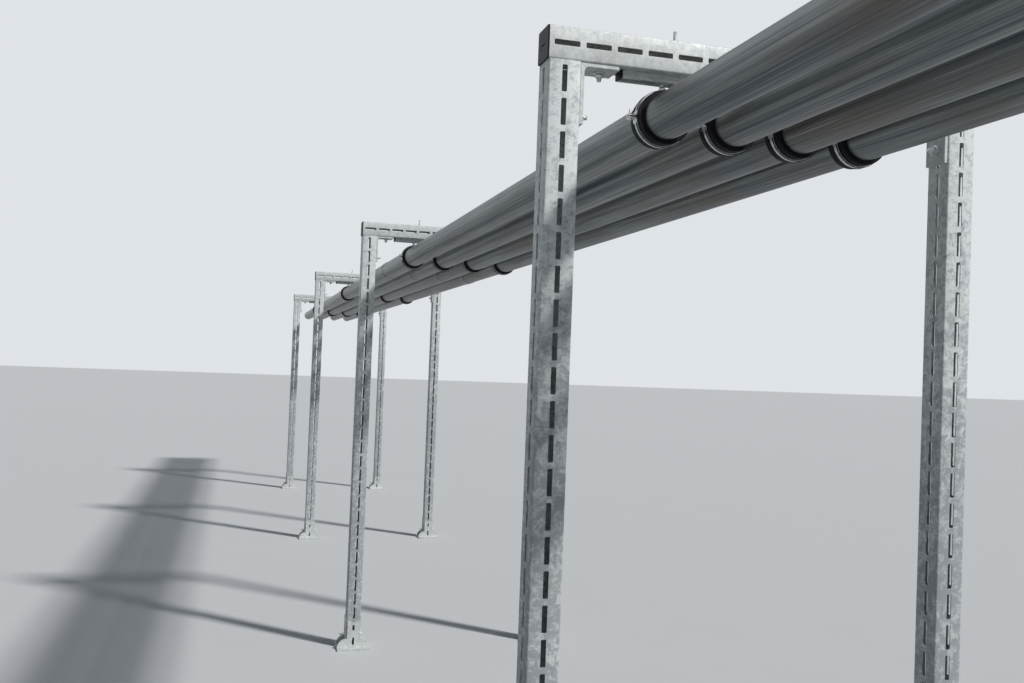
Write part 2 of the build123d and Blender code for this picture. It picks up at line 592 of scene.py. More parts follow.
class Wire:
    """A shader socket that can be used in arithmetic."""

    def __init__(self, tree: bpy.types.NodeTree, socket: bpy.types.NodeSocket) -> None:
        """Wraps one output socket of a node tree."""
        self.tree = tree
        self.socket = socket

    def _math(self, operation: str, *values: Wire | float) -> Wire:
        """Adds a Math node.

        Args:
            operation: Name of the operation.
            values: Wires or numbers to use it on.

        Returns:
            Its output.
        """
        node = self.tree.nodes.new("ShaderNodeMath")
        node.operation = operation
        for place, value in enumerate(values):
            if isinstance(value, Wire):
                self.tree.links.new(value.socket, node.inputs[place])
            else:
                node.inputs[place].default_value = value
        return Wire(self.tree, node.outputs[0])

    def __add__(self, other: Wire | float) -> Wire:
        """Sum."""
        return self._math("ADD", self, other)

    def __radd__(self, other: float) -> Wire:
        """Sum with a number on the left."""
        return self._math("ADD", other, self)

    def __rsub__(self, other: float) -> Wire:
        """Difference from a number on the left."""
        return self._math("SUBTRACT", other, self)

    def __mul__(self, other: Wire | float) -> Wire:
        """Product."""
        return self._math("MULTIPLY", self, other)

    def __rmul__(self, other: float) -> Wire:
        """Product with a number on the left."""
        return self._math("MULTIPLY", other, self)


@dataclass(frozen=True)
class Surface:
    """Numbers that close a material: metallic share, bump and index of refraction."""

    metallic: float
    bump: float
    depth: float
    ior: float = 1.5


class Shader:
    """Node tree of one material, with short ways to add its nodes."""

    def __init__(self, name: str) -> None:
        """Makes an empty material.

        Args:
            name: Name of the material.
        """
        self.material = bpy.data.materials.new(name)
        self.material.use_nodes = True
        self.tree = self.material.node_tree
        self.tree.nodes.clear()
        self.place = self.node("ShaderNodeTexCoord", {}, {}, "Object")

    def node(self, kind: str, settings: dict[str, Any], inputs: dict[str | int, Any],
             output: str | int = 0) -> Wire:
        """Adds a node.

        Args:
            kind: Type of the node.
            settings: Properties that are set first; "stops" holds the places and values of a ramp.
            inputs: Values or wires of its sockets.
            output: Name or number of the output to use.

        Returns:
            The wrapped output.
        """
        node = self.tree.nodes.new(kind)
        stops = settings.pop("stops", ())
        for key, value in settings.items():
            setattr(node, key, value)
        for element, (place, value) in zip(node.color_ramp.elements if stops else (), stops):
            element.position = place
            element.color = (value, value, value, 1)
        for key, value in inputs.items():
            if isinstance(value, Wire):
                self.tree.links.new(value.socket, node.inputs[key])
            else:
                node.inputs[key].default_value = value
        return Wire(self.tree, node.outputs[output])

    def stretched(self, scale: Triple, offset: Triple = (0, 0, 0)) -> Wire:
        """Object coordinates times a scale along each axis, and moved by an offset."""
        return self.node("ShaderNodeMapping", {}, {"Vector": self.place, "Scale": scale, "Location": offset})

    def noise(self, vector: Wire, scale: float = 1.0, detail: float = 3.0, roughness: float = 0.55,
              distortion: float = 0.0) -> Wire:
        """Adds a noise pattern.

        Args:
            vector: Coordinates.
            scale: Scale of the pattern.
            detail: Number of finer layers.
            roughness: Share of the finer layers.
            distortion: How far the pattern is drawn out of shape.

        Returns:
            Its value.
        """
        inputs = {"Vector": vector, "Scale": scale, "Detail": detail, "Roughness": roughness,
                  "Distortion": distortion}
        return self.node("ShaderNodeTexNoise", {}, inputs)

    def crystals(self, scale: float) -> Wire:
        """Random grey of each cell of a cellular pattern."""
        colour = self.node("ShaderNodeTexVoronoi", {}, {"Vector": self.place, "Scale": scale}, "Color")
        return self.node("ShaderNodeSeparateColor", {}, {"Color": colour})

    def ramp(self, value: Wire, span: Pair) -> Wire:
        """The value as 0 below the span and 1 above it."""
        return self.node("ShaderNodeValToRGB", {"stops": tuple(zip(span, (0.0, 1.0)))}, {"Fac": value})

    def mix(self, factor: Wire, first: Wire | Triple, second: Wire | Triple) -> Wire:
        """Mix of two colours."""
        ends = [value if isinstance(value, Wire) else (*value, 1) for value in (first, second)]
        return self.node("ShaderNodeMix", {"data_type": "RGBA"}, {0: factor, 6: ends[0], 7: ends[1]}, 2)

    def finish(self, colour: Wire, roughness: Wire, height: Wire, surface: Surface) -> bpy.types.Material:
        """Closes the material with one principled shader.

        Args:
            colour: Base colour.
            roughness: Roughness.
            height: Height that bends the normal.
            surface: The constant numbers.

        Returns:
            The material.
        """
        bump = {"Height": height, "Strength": surface.bump, "Distance": surface.depth}
        normal = self.node("ShaderNodeBump", {}, bump)
        inputs = {"Base Color": colour, "Roughness": roughness, "Metallic": surface.metallic,
                  "Normal": normal, "IOR": surface.ior}
        principled = self.node("ShaderNodeBsdfPrincipled", {}, inputs)
        output = self.tree.nodes.new("ShaderNodeOutputMaterial")
        self.tree.links.new(principled.socket, output.inputs["Surface"])
        return self.material


@dataclass(frozen=True)
class Galvanised:
    """Hot-dip zinc: pale cloudy patches, fine crystals and faint runs down the metal.

    Painted shade makes it duller towards the ground and paler higher up, over the share of its height given
    by the span of the height ramp.
    """

    name: str = "galvanised_steel"
    pale: Triple = (0.73, 0.745, 0.725)
    dull: Triple = (0.54, 0.56, 0.555)
    stain: Triple = (0.56, 0.55, 0.50)
    painted_shade: float = 0.0
    shade_span: Pair = (0.50, 0.88)
    per_height: float = 0.4
    patch_scale: float = 46.0
    broad_share: float = 0.16
    crystal_scale: float = 190.0
    grain_scale: float = 900.0
    run_scale: Triple = (70, 70, 5)
    stain_scale: Triple = (9, 9, 9)
    stain_offset: Triple = (3, 1, 2)
    dull_span: Pair = (0.44, 0.63)
    stain_span: Pair = (0.56, 0.80)
    stain_strength: float = 0.35
    surface: Surface = Surface(0.15, 0.2, 0.0008)

    def material(self) -> bpy.types.Material:
        """Builds the material.

        Returns:
            The material.
        """
        shader = Shader(self.name)
        patches = shader.noise(shader.place, self.patch_scale, 5.0, 0.62, 0.6)
        broad = shader.noise(shader.place, self.patch_scale * self.broad_share)
        crystals = shader.crystals(self.crystal_scale)
        runs = shader.noise(shader.stretched(self.run_scale), roughness=0.6)
        up = shader.node("ShaderNodeSeparateXYZ", {}, {"Vector": shader.place}, "Z")
        grey = patches * 0.62 + broad * 0.25 + crystals * 0.08 + runs * 0.12
        # painted shade: the colour goes duller towards the ground and paler towards the top
        grey = grey + self.painted_shade * (0.5 - shader.ramp(up * self.per_height, self.shade_span))
        colour = shader.mix(shader.ramp(grey, self.dull_span), self.pale, self.dull)
        cloud = shader.noise(shader.stretched(self.stain_scale, self.stain_offset), 1.0, 4.0, 0.6)
        colour = shader.mix(shader.ramp(cloud, self.stain_span) * self.stain_strength, colour, self.stain)
        height = patches * 0.5 + crystals * 0.2 + shader.noise(shader.place, self.grain_scale, 2.0) * 0.3
        return shader.finish(colour, 0.40 + patches * 0.22 + crystals * 0.06, height, self.surface)


@dataclass(frozen=True)
class ZincPlated:
    """Bright plated fasteners and clamp bands with a faint blue cast and small scuffs."""

    bright: Triple = (0.66, 0.675, 0.69)
    dull: Triple = (0.38, 0.38, 0.36)
    scuff_scale: float = 140.0
    film_share: float = 0.12
    wear_span: Pair = (0.46, 0.72)
    surface: Surface = Surface(0.8, 0.12, 0.0004)

    def material(self) -> bpy.types.Material:
        """Builds the material.

        Returns:
            The material.
        """
        shader = Shader("zinc_plated_steel")
        scuffs = shader.noise(shader.place, self.scuff_scale, 4.0, 0.65, 0.4)
        film = shader.noise(shader.place, self.scuff_scale * self.film_share)
        wear = shader.ramp(scuffs * 0.7 + film * 0.3, self.wear_span)
        colour = shader.mix(wear, self.bright, self.dull)
        return shader.finish(colour, 0.36 + wear * 0.22, scuffs, self.surface)


@dataclass(frozen=True)
class BareSteel:
    """Drawn steel: lengthwise marks, brown bloom and thin scratches along Y."""

    name: str
    base: Triple = (0.10, 0.115, 0.13)
    pale: Triple = (0.26, 0.28, 0.275)
    bloom: Triple = (0.17, 0.135, 0.105)
    scratch: Triple = (0.46, 0.46, 0.44)
    band_scale: Triple = (34, 0.55, 34)
    line_scale: Triple = (210, 1.4, 210)
    scratch_scale: Triple = (620, 2.2, 620)
    cloud_scale: Triple = (7, 1.6, 7)
    cloud_offset: Triple = (5, 2, 1)
    pale_span: Pair = (0.44, 0.62)
    bloom_span: Pair = (0.47, 0.70)
    scratch_span: Pair = (0.60, 0.72)
    bloom_strength: float = 0.62
    scratch_strength: float = 0.55
    surface: Surface = Surface(0.8, 0.16, 0.0006)

    def material(self) -> bpy.types.Material:
        """Builds the material.

        Returns:
            The material.
        """
        shader = Shader(self.name)
        bands = shader.noise(shader.stretched(self.band_scale), 1.0, 5.0, 0.62)
        lines = shader.noise(shader.stretched(self.line_scale), roughness=0.6)
        scratches = shader.noise(shader.stretched(self.scratch_scale), 1.0, 2.0, 0.5)
        cloud = shader.noise(shader.stretched(self.cloud_scale, self.cloud_offset), 1.0, 4.0, 0.6)
        marks = bands * 0.50 + lines * 0.40 + scratches * 0.15
        colour = shader.mix(shader.ramp(marks, self.pale_span), self.base, self.pale)
        colour = shader.mix(shader.ramp(cloud, self.bloom_span) * self.bloom_strength, colour, self.bloom)
        scored = shader.ramp(scratches, self.scratch_span) * self.scratch_strength
        colour = shader.mix(scored, colour, self.scratch)
        height = lines * 0.5 + scratches * 0.35
        return shader.finish(colour, 0.27 + bands * 0.18 + cloud * 0.10, height, self.surface)


@dataclass(frozen=True)
class Moulded:
    """Moulded rubber or plastic: near black with fine grain and a little dust."""

    name: str
    black: Triple = (0.006, 0.006, 0.008)
    dust: Triple = (0.020, 0.019, 0.018)
    dust_scale: float = 38.0
    grain_scale: float = 700.0
    roughness: float = 0.56
    dust_span: Pair = (0.50, 0.78)
    surface: Surface = Surface(0.0, 0.22, 0.0004, 1.22)

    def material(self) -> bpy.types.Material:
        """Builds the material.

        Returns:
            The material.
        """
        shader = Shader(self.name)
        grain = shader.noise(shader.place, self.grain_scale)
        dusty = shader.ramp(shader.noise(shader.place, self.dust_scale, 5.0, 0.65), self.dust_span)
        colour = shader.mix(dusty, self.black, self.dust)
        return shader.finish(colour, self.roughness + dusty * 0.22, grain, self.surface)


class Palette:
    """The finishes, one for each material slot, and a duller zinc for the legs, with painted shade towards
    the ground.
    """

    def __init__(self) -> None:
        """Builds every material once."""
        sleeve = BareSteel("pressed_sleeve", (0.15, 0.165, 0.17), (0.31, 0.325, 0.32), (0.21, 0.175, 0.14))
        plastic = Moulded("cap_plastic", (0.009, 0.011, 0.017), (0.024, 0.027, 0.036), 60.0, 520.0, 0.44)
        # the legs' zinc: weathered mottling plus painted shade that darkens it towards the ground and
        # lightens the top
        weathered_and_shaded = Galvanised("weathered_zinc_painted_shade", (0.76, 0.785, 0.78), (0.37, 0.40, 0.41), painted_shade=0.14)
        self.weathered_and_shaded = weathered_and_shaded.material()
        self.materials = {
            Slot.GALVANISED: Galvanised().material(),
            Slot.ZINC: ZincPlated().material(),
            Slot.PIPE: BareSteel("drawn_pipe").material(),
            Slot.SLEEVE: sleeve.material(),
            Slot.RUBBER: Moulded("lining_rubber").material(),
            Slot.PLASTIC: plastic.material(),
        }

    def dress(self, name: str, meshes: Sequence[Mesh], slot: Slot, *nodes: str,
              finish: bpy.types.Material | None = None) -> None:
        """Shows meshes as one piece of the bridge.

        Args:
            name: Name of the piece.
            meshes: Its meshes, in place.
            slot: The material slot, which gives the finish.
            nodes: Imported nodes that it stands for.
            finish: A finish of its own, where it has one.
        """
        mesh = joined(meshes, name)
        mesh.materials.append(finish or self.materials[slot])
        piece = bpy.data.objects.new(name, mesh)
        bpy.context.scene.collection.objects.link(piece)
        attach(piece, BODY)
        if nodes:
            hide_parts(*nodes)
        log.info("%s: %d faces", name, len(mesh.polygons))


@dataclass(frozen=True)
class SlottedSection:
    """Box section with rounded edges and a line of slots down each of its four walls."""

    width: float = 0.083
    wall: float = 0.003
    edge_radius: float = 0.005
    slot_pitch: float = 0.0815
    slot_length: float = 0.066
    slot_width: float = 0.0135
    slot_corner: float = 0.0028
    end_margin: float = 0.005
    edge_steps: int = 4

    def mesh(self, length: float, slot_shift: float) -> Mesh:
        """Member of this length that stands on Z about the origin.

        One wall and one edge are worked out, and turned a quarter of a turn at a time.

        Args:
            length: Length of the member.
            slot_shift: How far the line of slots lies above the middle of the member.

        Returns:
            The mesh, closed all round.
        """
        skin = Skin()
        middles = self._middles(length) + slot_shift
        for quarter in range(4):
            turn = np.array(Matrix.Rotation(quarter * QUARTER, 3, "Z")).T
            self._add_wall(skin, length, middles, turn)
            self._add_edge(skin, length, middles, turn)
        return skin.mesh()

    def _middles(self, length: float) -> Array:
        """Heights of the middles of the slots, evenly spaced about the middle of the member."""
        count = int((length - self.slot_length - 2 * self.end_margin) / self.slot_pitch + COUNT_SLACK) + 1
        return (np.arange(count) - (count - 1) / 2) * self.slot_pitch

    def _levels(self, length: float, middles: Array) -> Array:
        """Heights of every cut across the walls, from end to end and none past an end.

        Args:
            length: Length of the member.
            middles: Heights of the middles of its slots.

        Returns:
            The heights, rising.
        """
        half = self.slot_pitch / 2
        up = np.linspace(self.slot_length / 2 - self.slot_corner, half, 3)
        own = np.concatenate([-up[::-1], up[:-1]])
        inner = (middles[:, None] + own).ravel()
        levels = np.concatenate([[-length], inner, [middles[-1] + half, length]])
        return np.unique(np.clip(levels, -length / 2, length / 2).round(7))

    def _add_wall(self, skin: Skin, length: float, middles: Array, turn: Array) -> None:
        """Adds the flat of one wall: a cell round every slot and a plain strip at each end.

        A cell that would reach past the end of the member is cut off there.

        Args:
            skin: Where the surface goes.
            length: Length of the member.
            middles: Heights of the middles of its slots.
            turn: Turn that takes the front wall to this one.
        """
        half = self.width / 2 - self.edge_radius
        hole = rounded_loop(self.slot_width / 2, self.slot_length / 2, self.slot_corner)
        rim = cell_rim((half, self.slot_pitch / 2), hole)
        out, back = -self.width / 2, self.wall - self.width / 2
        rings = np.stack([lifted(loop, depth, 1)
                          for loop, depth in ((rim, out), (hole, out), (hole, back), (rim, back))])
        for middle in middles:
            cell = rings + [0, 0, middle]
            cell[..., 2] = np.clip(cell[..., 2], -length / 2, length / 2)
            skin.grid(cell @ turn)
        flat = self.slot_width / 2 - self.slot_corner
        across = np.array([-half, -flat, flat, half])
        for sign, last in ((-1, middles[0]), (1, middles[-1])):
            levels = sign * np.array([min(abs(last) + self.slot_pitch / 2, length / 2), length / 2])
            for depth, facing in ((out, -1), (back, 1)) if levels[0] != levels[1] else ():
                strip = np.stack(np.broadcast_arrays(across, depth, levels[:, None]), axis=-1)
                skin.sheet(strip @ turn, np.array([0, facing, 0]) @ turn)
            end = np.stack(np.broadcast_arrays(across, np.array([[out], [back]]), levels[1]), axis=-1)
            skin.sheet(end @ turn, (0, 0, sign))

    def _add_edge(self, skin: Skin, length: float, middles: Array, turn: Array) -> None:
        """Adds the round edge beside the wall, outside and inside, with its two ends.

        Args:
            skin: Where the surface goes.
            length: Length of the member.
            middles: Heights of the middles of its slots.
            turn: Turn that takes the front wall's edge to this one.
        """
        centre = FLIP * (self.width / 2 - self.edge_radius)
        arcs = [centre + arc(radius, -QUARTER, 0, self.edge_steps)
                for radius in (self.edge_radius, self.edge_radius - self.wall)]
        levels = self._levels(length, middles)
        for loop, side in zip(arcs, (1, -1)):
            strip = np.stack([lifted(loop, level) for level in levels])
            skin.sheet(strip @ turn, np.array([side, -side, 0]) @ turn)
        for sign in (-1, 1):
            end = np.stack([lifted(loop, sign * length / 2) for loop in arcs])
            skin.sheet(end @ turn, (0, 0, sign))


@dataclass
class Assembly:
    """A sub-assembly of the bridge, shown in the finishes of a palette."""

    palette: Palette
    fasteners: Fasteners = Fasteners()


@dataclass
class PortalFrame(Assembly):
    """Two legs and the beam that lies on them, cut from one slotted section."""

    section: SlottedSection = SlottedSection()
    leg_slot_shift: float = -0.004
    beam_slot_shift: float = 0.005

    def build(self) -> None:
        """Shows the legs and the beam of every frame."""
        leg = self.section.mesh(Box.of("leg_left_1").size[2], self.leg_slot_shift)
        beam = self.section.mesh(Box.of("beam_1").size[0], self.beam_slot_shift)
        beam = moved(beam, turned(90, "Y"))
        # the legs take the zinc with painted shade towards the ground
        dull = self.palette.weathered_and_shaded
        kinds = (("leg_left", leg, dull), ("leg_right", leg, dull), ("beam", beam, None))
        for number in FRAMES:
            for kind, mesh, finish in kinds:
                node = f"{kind}_{number}"
                placed = [moved(mesh, shift(*Box.of(node).middle))]
                self.palette.dress(f"slotted_{node}", placed, Slot.GALVANISED, node, finish=finish)


@dataclass
class Foot(Assembly):
    """Base plate with a welded shoe: slotted straps, rounded wings and the bolt through the leg.

    The cuts are heights over the plate, and a slot is given as half its width and its corner radius,
    with half its height by itself.
    """

    plate: float = 0.190
    plate_thickness: float = 0.010
    anchor_spacing: float = 0.146
    anchor_radius: float = 0.007
    strap_width: float = 0.070
    strap_thickness: float = 0.005
    strap_slot: Pair = (0.0065, 0.0060)
    front_cuts: tuple[float, ...] = (0.0, 0.005, 0.065, 0.090, 0.136, 0.148)
    front_slots: Pair = (0.022, 0.016)
    side_cuts: tuple[float, ...] = (0.0, 0.044, 0.134, 0.176)
    side_slot: float = 0.030
    wing_radius: float = 0.050
    wing_steps: int = 10
    bolt_height: float = 0.076
    bolt_depth: float = 0.012
    bolt_reach: float = 0.030
    head_height: float = 0.0075
    washer_radius: float = 0.0145
    section: float = 0.083

    def build(self) -> None:
        """Shows both feet of every frame."""
        steel, bolts = self._steel(), self._bolts()
        inset = self.plate / 2
        for number in FRAMES:
            node = f"feet_{number}"
            box = Box.of(node)
            ends = (box.low[0] + inset, box.high[0] - inset)
            places = [shift(x, box.middle[1], box.low[2]) for x in ends]
            plates, ties = ([moved(mesh, place) for place in places] for mesh in (steel, bolts))
            self.palette.dress(f"foot_plates_{number}", plates, Slot.GALVANISED, node)
            self.palette.dress(f"foot_bolts_{number}", ties, Slot.ZINC)

    def _steel(self) -> Mesh:
        """Builds the plate, straps and wings of one foot.

        Returns:
            The mesh, on the origin.
        """
        side, middle = self.plate / 2, self.anchor_spacing / 2
        cuts = (-side, side - 2 * middle, 2 * middle - side, side)
        hole = (self.anchor_radius,) * 3
        narrow, corner = self.strap_slot
        slots = {(0, row): (narrow, half, corner) for row, half in zip((1, 3), self.front_slots)}
        front = self._strap(self.front_cuts, slots)
        beside = self._strap(self.side_cuts, {(0, 1): (narrow, self.side_slot, corner)})
        wings = self._wings()
        upright = (turned(90, "X"), shift(0, -self.section / 2, self.plate_thickness))
        parts = [PiercedPlate(cuts, cuts, self.plate_thickness, {(0, 0): hole, (2, 2): hole}).mesh()]
        for quarter in range(4):
            around = turned(90 * quarter, "Z")
            faces = (beside,) if quarter % 2 else (front, wings)
            parts += [moved(mesh, *upright, around) for mesh in faces]
        return joined(parts)

    def _strap(self, cuts: Sequence[float], holes: dict[tuple[int, int], Triple]) -> Mesh:
        """Flat strap that stands on y, cut into one cell for each of its slots."""
        half = self.strap_width / 2
        return PiercedPlate((-half, half), cuts, self.strap_thickness, holes).mesh()

    def _wings(self) -> Mesh:
        """Builds two quarter discs about the leg's edges, out from the front strap.

        Returns:
            The mesh, on its back.
        """
        radius, root = self.wing_radius, self.strap_width / 2
        rim = arc(radius, 0, QUARTER, self.wing_steps) + [self.section / 2, 0]
        quarter = np.concatenate([rim, [[root, radius], [root, 0]]])
        skin = Skin()
        for loop in (quarter, quarter * MIRROR):
            skin.through(((loop, 0), (loop, self.strap_thickness)))
        return skin.mesh()

    def _bolts(self) -> Mesh:
        """Builds the bolt through the leg and both side straps: nut on the left, head on the right.

        Returns:
            The mesh, on the origin of the foot.
        """
        face, outer = self.section / 2 + self.strap_thickness, self.washer_radius
        nut = self.fasteners.bolt_end(outer, face, self.bolt_depth, self.bolt_reach)
        base = face + self.fasteners.washer_height
        head = [self.fasteners.bolt_washer(outer, face),
                self.fasteners.nut(self.fasteners.bolt_flats, self.head_height, base)]
        up = shift(0, 0, self.bolt_height)
        return joined([moved(mesh, turned(sign * 90, "Y"), up)
                       for sign, own in ((-1, nut), (1, head)) for mesh in own])


@dataclass
class CornerBracket(Assembly):
    """Thick angle bent from flat bar, bolted under the beam and to the leg."""

    reach: float = 0.100
    drop: float = 0.152
    thickness: float = 0.010
    width: float = 0.076
    inner_radius: float = 0.012
    edge: float = 0.0012
    bend_steps: int = 6
    arm_bolt: float = 0.061
    leg_bolts: Pair = (0.126, 0.112)
    bolt_depth: float = 0.004
    bolt_reach: float = 0.022
    washer_radius: float = 0.015

    def build(self) -> None:
        """Shows both brackets of every frame, with their bolts."""
        steel = self._steel()
        bolts = [self._bolts(down) for down in self.leg_bolts]
        for number in FRAMES:
            node = f"corner_brackets_{number}"
            box = Box.of(node)
            y, z = box.middle[1], box.high[2]
            places = ((shift(box.low[0], y, z),), (turned(180, "Z"), shift(box.high[0], y, z)))
            angles, ties = ([moved(mesh, *place) for mesh, place in zip(pair, places)]
                            for pair in ((steel, steel), bolts))
            self.palette.dress(f"corner_angles_{number}", angles, Slot.GALVANISED, node)
            self.palette.dress(f"corner_bolts_{number}", ties, Slot.ZINC)

    def _steel(self) -> Mesh:
        """Angle for a left corner, with its outer corner on the origin.

        The outline goes down the outer side, back up the inner side, round the bend as an arc and
        out to the end of the arm. It is carried across the width and drawn in at both ends.

        Returns:
            The closed mesh.
        """
        t, r = self.thickness, self.inner_radius
        bend = np.array([t + r, -t - r]) + arc(r, TURN / 2, QUARTER, self.bend_steps)
        leg, arm = [[0, 0], [0, -self.drop], [t, -self.drop]], [[self.reach, -t], [self.reach, 0]]
        outline = np.concatenate([leg, bend, arm])
        small = outline + self.edge * self._inward(outline)
        half = self.width / 2
        stations = ((small, -half), (outline, self.edge - half), (outline, half - self.edge), (small, half))
        return Skin().through(stations, 1).mesh()

    @staticmethod
    def _inward(outline: Array) -> Array:
        """Direction into the outline at each corner that draws both its sides in by one.

        Args:
            outline: Corners in order.

        Returns:
            One direction for each corner.
        """
        after = np.roll(outline, -1, axis=0) - outline
        after /= np.linalg.norm(after, axis=1, keepdims=True)
        before = np.roll(after, 1, axis=0)
        both = after + before
        left = np.stack([-both[:, 1], both[:, 0]], axis=-1)
        return left / (1 + (after * before).sum(axis=1, keepdims=True))

    def _bolts(self, down: float) -> Mesh:
        """Builds a bolt up into the beam and one into the leg.

        Args:
            down: How far down the leg the second one sits.

        Returns:
            The mesh, with the angle's outer corner on the origin.
        """
        places = ((turned(180, "X"), shift(self.arm_bolt, 0, -self.thickness)),
                  (turned(90, "Y"), shift(self.thickness, 0, -down)))
        end = self.fasteners.bolt_end(self.washer_radius, 0.0, self.bolt_depth, self.bolt_reach)
        return joined([moved(mesh, *place) for place in places for mesh in end])


@dataclass
class ClampRail(Assembly):
    """Channel rail with two grooves in each side and curled lips, and a black cap in each end.

    The grooves start at shares of the depth, and their corners follow in steps of it.
    """

    wall: float = 0.0025
    mouth: float = 0.022
    groove: float = 0.0018
    groove_starts: Pair = (0.30, 0.60)
    groove_steps: tuple[float, ...] = (0, 0.05, 0.16, 0.21)
    lip_rise: float = 0.006
    edge: float = 0.001
    top_edge: float = 0.0015
    cap_length: float = 0.005
    cap_edge: float = 0.0012
    cap_corner: float = 0.003

    def build(self) -> None:
        """Shows the rail of every frame and the caps in its ends."""
        size = Box.of("clamp_rail_1").size
        rail, cap = self._rail(size), self._cap(size)
        for number in FRAMES:
            node = f"clamp_rail_{number}"
            place = shift(*Box.of(node).middle)
            self.palette.dress(f"ribbed_rail_{number}", [moved(rail, place)], Slot.GALVANISED, node)
            caps = [moved(cap, place), moved(cap, turned(180, "Z"), place)]
            self.palette.dress(f"rail_caps_{number}", caps, Slot.PLASTIC)

    def _outline(self, half: float, depth: float) -> Array:
        """Closed outline of the channel in (y, z) about its own middle.

        The outside of the right half goes from the lip up to the web, with two grooves pressed in;
        the inside goes back down, one wall further in. The left half is their mirror.

        Args:
            half: Half the width of the rail.
            depth: Height of the rail.

        Returns:
            Array of (points, 2).
        """
        t, g, e, lip = self.wall, self.groove, self.edge, self.mouth / 2
        top, low = depth / 2, -depth / 2
        ribs = np.array([(half - inset, low + (start + step) * depth) for start in self.groove_starts
                         for inset, step in zip((0, g, g, 0), self.groove_steps)])
        foot = [(lip, low + self.lip_rise), (lip, low + e), (lip + e, low), (half - e, low), (half, low + e)]
        shoulder = [(half, top - self.top_edge), (half - self.top_edge, top)]
        under = [(half - t - e, top - t), (half - t, top - t - e)]
        curl = [(half - t, low + t), (lip + t, low + t), (lip + t, low + self.lip_rise)]
        outside = np.concatenate([foot, ribs, shoulder])
        inside = np.concatenate([under, (ribs - [t, 0])[::-1], curl])
        return np.concatenate([outside, (outside * MIRROR)[::-1], (inside * MIRROR)[::-1], inside])

    def _rail(self, size: Array) -> Mesh:
        """The channel between its caps, about its own middle."""
        outline, end = self._outline(size[1] / 2, size[2]), size[0] / 2 - self.cap_length
        return Skin().through(((outline, -end), (outline, end)), 0).mesh()

    def _cap(self, size: Array) -> Mesh:
        """Cap on the left end: rounded rectangles that shrink towards its outer face.

        Args:
            size: Size of the rail.

        Returns:
            The closed mesh, about the rail's middle.
        """
        end, edge, near = size[0] / 2, self.cap_edge, BREAK_SHARE * self.cap_edge
        insets = ((edge, -end), (near, near - end), (0, edge - end), (0, self.cap_length - end))
        return Skin().through([(rounded_loop(size[1] / 2 - by, size[2] / 2 - by, self.cap_corner), x)
                               for by, x in insets], 0).mesh()


@dataclass
class RailRod(Assembly):
    """Threaded rod that ties a rail to its beam, with its nuts and washers."""

    rod_xs: Pair = (-0.266, 0.276)
    radius: float = 0.005
    bore: float = 0.0045
    across_flats: float = 0.017
    nut_height: float = 0.008
    low_nut_height: float = 0.005
    washer: Pair = (0.0125, 0.0025)

    def build(self) -> None:
        """Shows the two rods of every frame."""
        box = Box.of("rail_rods")
        beam_top, web = Box.of("beam_1").high[2], Box.of("clamp_rail_1").high[2] - ClampRail.wall
        outer, thick = self.washer
        low = self.low_nut_height
        rod = joined([
            self.fasteners.stud(self.radius, box.low[2], box.high[2]),
            self.fasteners.washer(outer, self.radius, thick, beam_top),
            self.fasteners.nut(self.across_flats, self.nut_height, beam_top + thick, self.bore),
            self.fasteners.nut(self.across_flats, low, web - low, self.bore),
        ])
        ys = [Box.of(f"beam_{number}").middle[1] for number in FRAMES]
        placed = [moved(rod, shift(x, y, 0)) for y in ys for x in self.rod_xs]
        self.palette.dress("threaded_rods", placed, Slot.ZINC, "rail_rods")


